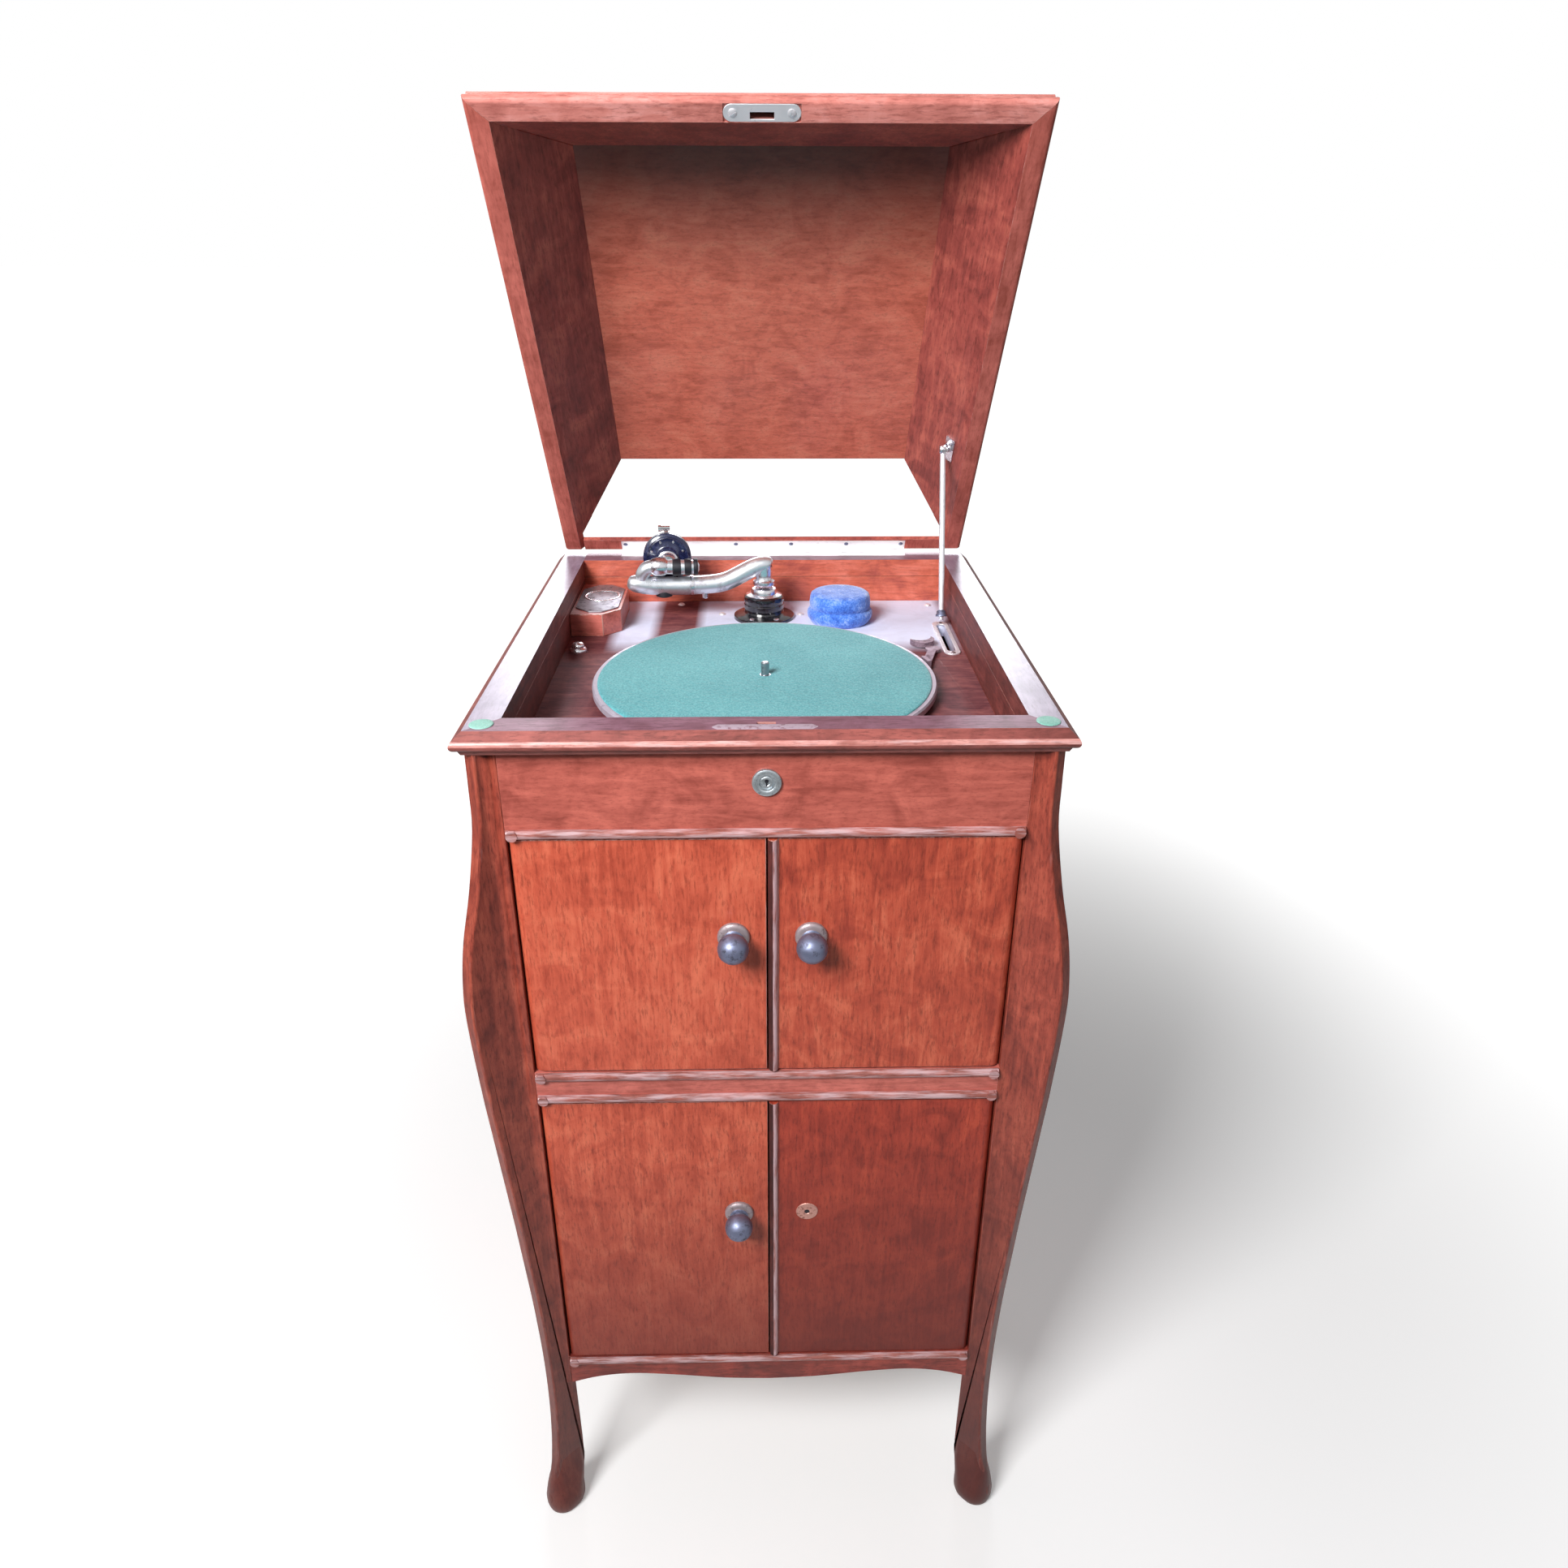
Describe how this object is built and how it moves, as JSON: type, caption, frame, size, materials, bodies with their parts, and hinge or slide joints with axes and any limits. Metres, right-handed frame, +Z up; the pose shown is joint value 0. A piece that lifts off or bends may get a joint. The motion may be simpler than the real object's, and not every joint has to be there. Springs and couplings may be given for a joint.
{
  "type": "gramophone cabinet",
  "caption": "Floor-standing mahogany gramophone cabinet with bowed corner posts, an open hipped lid on a stay, a felt turntable, a tonearm, an inner horn and record racks behind doors.",
  "frame": {"origin": "on the floor under the middle of the cabinet's footprint", "axes": "+X to the viewer's right, +Y to the back (the doors face -Y), +Z up"},
  "size_m": [0.485, 0.531, 1.3077],
  "materials": {
    "mahogany": "glossy varnish over reddish mahogany",
    "mahogany_dark": "dark varnish, worn",
    "inner_wood": "thin brown stain, dull",
    "board_wood": "thick glossy varnish",
    "felt": "worn teal-green felt",
    "nickel": "nickel plate, a little dull",
    "black_enamel": "black stove enamel",
    "knob_metal": "dark worn plating",
    "motor_steel": "oiled steel",
    "brass": "aged brass",
    "horn_metal": "dark painted iron",
    "blue_cloth": "blue plush over a wooden base"
  },
  "bodies": {
    "cabinet": {"post_front_left": "mahogany_dark", "post_front_right": "mahogany_dark", "back_posts": "mahogany_dark", "side_panel_left": "mahogany", "side_panel_right": "mahogany", "back_panel": "inner_wood", "front_top_rail": "mahogany", "front_mid_rail": "mahogany", "front_apron": "mahogany", "front_beads": "mahogany", "top_moulding": "mahogany", "felt_pads": "felt", "motor_board": "board_wood", "board_bearers": "inner_wood", "horn_roof": "inner_wood", "horn_sides": "inner_wood", "horn_floor": "inner_wood", "horn_throat": "horn_metal", "record_dividers": "inner_wood", "bottom_board": "inner_wood", "lock_case": "brass", "hinge_rim_leaf": "nickel", "door_pivots": "motor_steel", "stay_plate": "nickel", "tonearm_base": "black_enamel", "needle_block": "board_wood", "needle_bowl": "nickel", "cleaning_pad": "blue_cloth", "motor_frame": "motor_steel", "winding_escutcheon": "nickel", "board_screws": "nickel"},
    "lid": {"lid_frame": "mahogany", "lid_sloped_boards": "mahogany", "lid_top_panel": "mahogany", "strike_plate": "nickel", "hinge_lid_leaf": "nickel", "stay_bracket": "nickel"},
    "stay": {"stay_rod": "nickel"},
    "upper_left_door": {"door_upper_left": "mahogany", "knob_upper_left": "knob_metal"},
    "upper_right_door": {"door_upper_right": "mahogany", "knob_upper_right": "knob_metal"},
    "lower_left_door": {"door_lower_left": "mahogany", "knob_lower_left": "knob_metal"},
    "lower_right_door": {"door_lower_right": "mahogany", "knob_plate_lower_right": "brass"},
    "turntable": {"platter": "nickel", "platter_felt": "felt", "spindle": "motor_steel"},
    "barrel": {"spring_barrel": "brass"},
    "governor_shaft": {"governor": "brass"},
    "winder": {"winding_shaft": "motor_steel"},
    "brake": {"brake_lever": "nickel"},
    "speed_screw": {"speed_knob": "nickel"},
    "arm": {"tonearm": "nickel"},
    "soundbox_crook": {"gooseneck": "nickel", "soundbox": "black_enamel", "needle_holder": "nickel"},
    "key_plug": {"lock_plug": "brass"},
    "bolt": {"lock_bolt": "brass"}
  },
  "joints": [
    {"name": "lid_hinge", "type": "hinge", "parent": "cabinet", "child": "lid", "pos_m": [0, 0.2519, 0.8956], "axis": [1, 0, 0], "range_deg": [0, 55.4]},
    {"name": "stay_swing", "type": "hinge", "parent": "lid", "child": "stay", "pos_m": [0.1823, 0.18344, 1.01773], "axis": [1, 0, 0], "range_deg": [-36, 0.5]},
    {"name": "upper_left_door_hinge", "type": "hinge", "parent": "cabinet", "child": "upper_left_door", "pos_m": [-0.1895, -0.228, 0.69], "axis": [0, 0, -1], "range_deg": [0, 92]},
    {"name": "upper_right_door_hinge", "type": "hinge", "parent": "cabinet", "child": "upper_right_door", "pos_m": [0.1895, -0.228, 0.69], "axis": [0, 0, 1], "range_deg": [0, 92]},
    {"name": "lower_left_door_hinge", "type": "hinge", "parent": "cabinet", "child": "lower_left_door", "pos_m": [-0.1895, -0.228, 0.38], "axis": [0, 0, -1], "range_deg": [0, 92]},
    {"name": "lower_right_door_hinge", "type": "hinge", "parent": "cabinet", "child": "lower_right_door", "pos_m": [0.1895, -0.228, 0.38], "axis": [0, 0, 1], "range_deg": [0, 92]},
    {"name": "turntable_spin", "type": "hinge", "parent": "cabinet", "child": "turntable", "pos_m": [0, -0.045, 0.86], "axis": [0, 0, 1], "continuous": true},
    {"name": "barrel_spin", "type": "hinge", "parent": "cabinet", "child": "barrel", "pos_m": [-0.042, -0.045, 0.79], "axis": [0, 0, 1], "continuous": true},
    {"name": "governor_spin", "type": "hinge", "parent": "cabinet", "child": "governor_shaft", "pos_m": [0.0319, -0.05, 0.8245], "axis": [0, 1, 0], "continuous": true},
    {"name": "winding_turn", "type": "hinge", "parent": "cabinet", "child": "winder", "pos_m": [0.1, 0.001, 0.789], "axis": [1, 0, 0], "continuous": true},
    {"name": "brake_swing", "type": "hinge", "parent": "cabinet", "child": "brake", "pos_m": [0.163, 0.048, 0.85], "axis": [0, 0, 1], "range_deg": [-4.5, 12]},
    {"name": "speed_turn", "type": "hinge", "parent": "cabinet", "child": "speed_screw", "pos_m": [-0.181, 0.055, 0.85], "axis": [0, 0, 1], "range_deg": [-150, 150]},
    {"name": "tonearm_swing", "type": "hinge", "parent": "cabinet", "child": "arm", "pos_m": [0, 0.162, 0.89], "axis": [0, 0, 1], "range_deg": [-8, 72]},
    {"name": "soundbox_flip", "type": "hinge", "parent": "arm", "child": "soundbox_crook", "pos_m": [-0.13625, 0.14768, 0.894], "axis": [0.1045, -0.9945, 0], "range_deg": [0, 115]},
    {"name": "key_turn", "type": "hinge", "parent": "cabinet", "child": "key_plug", "pos_m": [0, -0.235, 0.85], "axis": [0, 1, 0], "range_deg": [0, 90.2]},
    {"name": "bolt_slide", "type": "slide", "parent": "cabinet", "child": "bolt", "axis": [0, 0, 1], "range_m": [0, 0.022]}
  ],
  "couplings": [
    {"joint": "stay_swing", "follows": "lid_hinge", "ratio": -0.63899},
    {"joint": "barrel_spin", "follows": "turntable_spin", "ratio": -0.16667},
    {"joint": "governor_spin", "follows": "turntable_spin", "ratio": 12},
    {"joint": "key_turn", "follows": "bolt_slide", "rad_per_m": 71.4}
  ]
}
